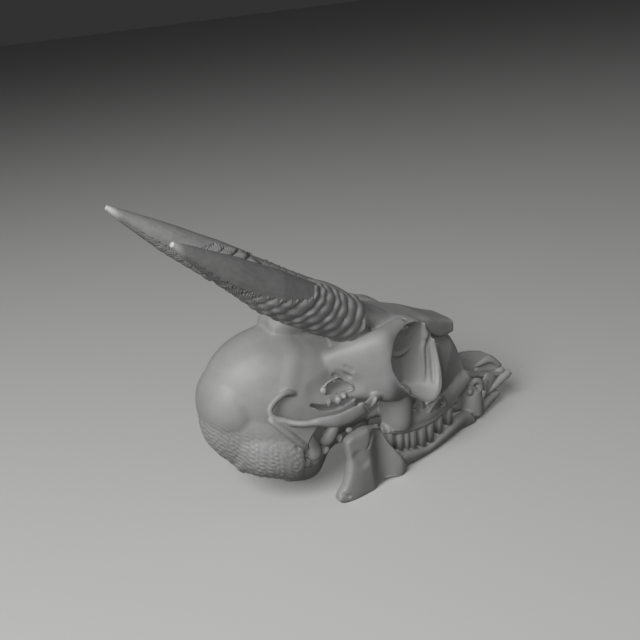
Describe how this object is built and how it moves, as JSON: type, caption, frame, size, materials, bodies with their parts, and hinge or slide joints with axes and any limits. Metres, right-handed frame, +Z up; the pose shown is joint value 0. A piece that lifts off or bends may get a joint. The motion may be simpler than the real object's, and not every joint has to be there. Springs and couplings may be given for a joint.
{
  "type": "dik-dik skull",
  "caption": "Small antelope skull with straight ringed horns that lean back, a round braincase, flared eye-socket rims and its slim lower jaw in place, for display or study.",
  "frame": {"origin": "on the ground under the middle of the skull, where the middle is half way between the horn tips and the front teeth", "axes": "+X forward to the front teeth, +Y to the animal's left, +Z up. The skull stands level on the lower edge of its jaw"},
  "size_m": [0.124, 0.0554, 0.0919],
  "materials": {
    "bone": "matt, fine-grained, a little satin where it is smooth",
    "horn": "satin, finely striped along its length",
    "tooth": "satin"
  },
  "bodies": {
    "root": {"cranium": "bone", "jaw_right": "bone", "horn_right": "horn", "upper_molar_3_right": "tooth", "upper_molar_2_right": "tooth", "upper_molar_1_right": "tooth", "upper_premolar_4_right": "tooth", "upper_premolar_3_right": "tooth", "upper_premolar_2_right": "tooth", "lower_molar_3_right": "tooth", "lower_molar_2_right": "tooth", "lower_molar_1_right": "tooth", "lower_premolar_4_right": "tooth", "lower_premolar_3_right": "tooth", "lower_premolar_2_right": "tooth", "incisor_1_right": "tooth", "incisor_2_right": "tooth", "incisor_3_right": "tooth", "canine_right": "tooth", "jaw_left": "bone", "horn_left": "horn", "upper_molar_3_left": "tooth", "upper_molar_2_left": "tooth", "upper_molar_1_left": "tooth", "upper_premolar_4_left": "tooth", "upper_premolar_3_left": "tooth", "upper_premolar_2_left": "tooth", "lower_molar_3_left": "tooth", "lower_molar_2_left": "tooth", "lower_molar_1_left": "tooth", "lower_premolar_4_left": "tooth", "lower_premolar_3_left": "tooth", "lower_premolar_2_left": "tooth", "incisor_1_left": "tooth", "incisor_2_left": "tooth", "incisor_3_left": "tooth", "canine_left": "tooth"}
  },
  "joints": []
}
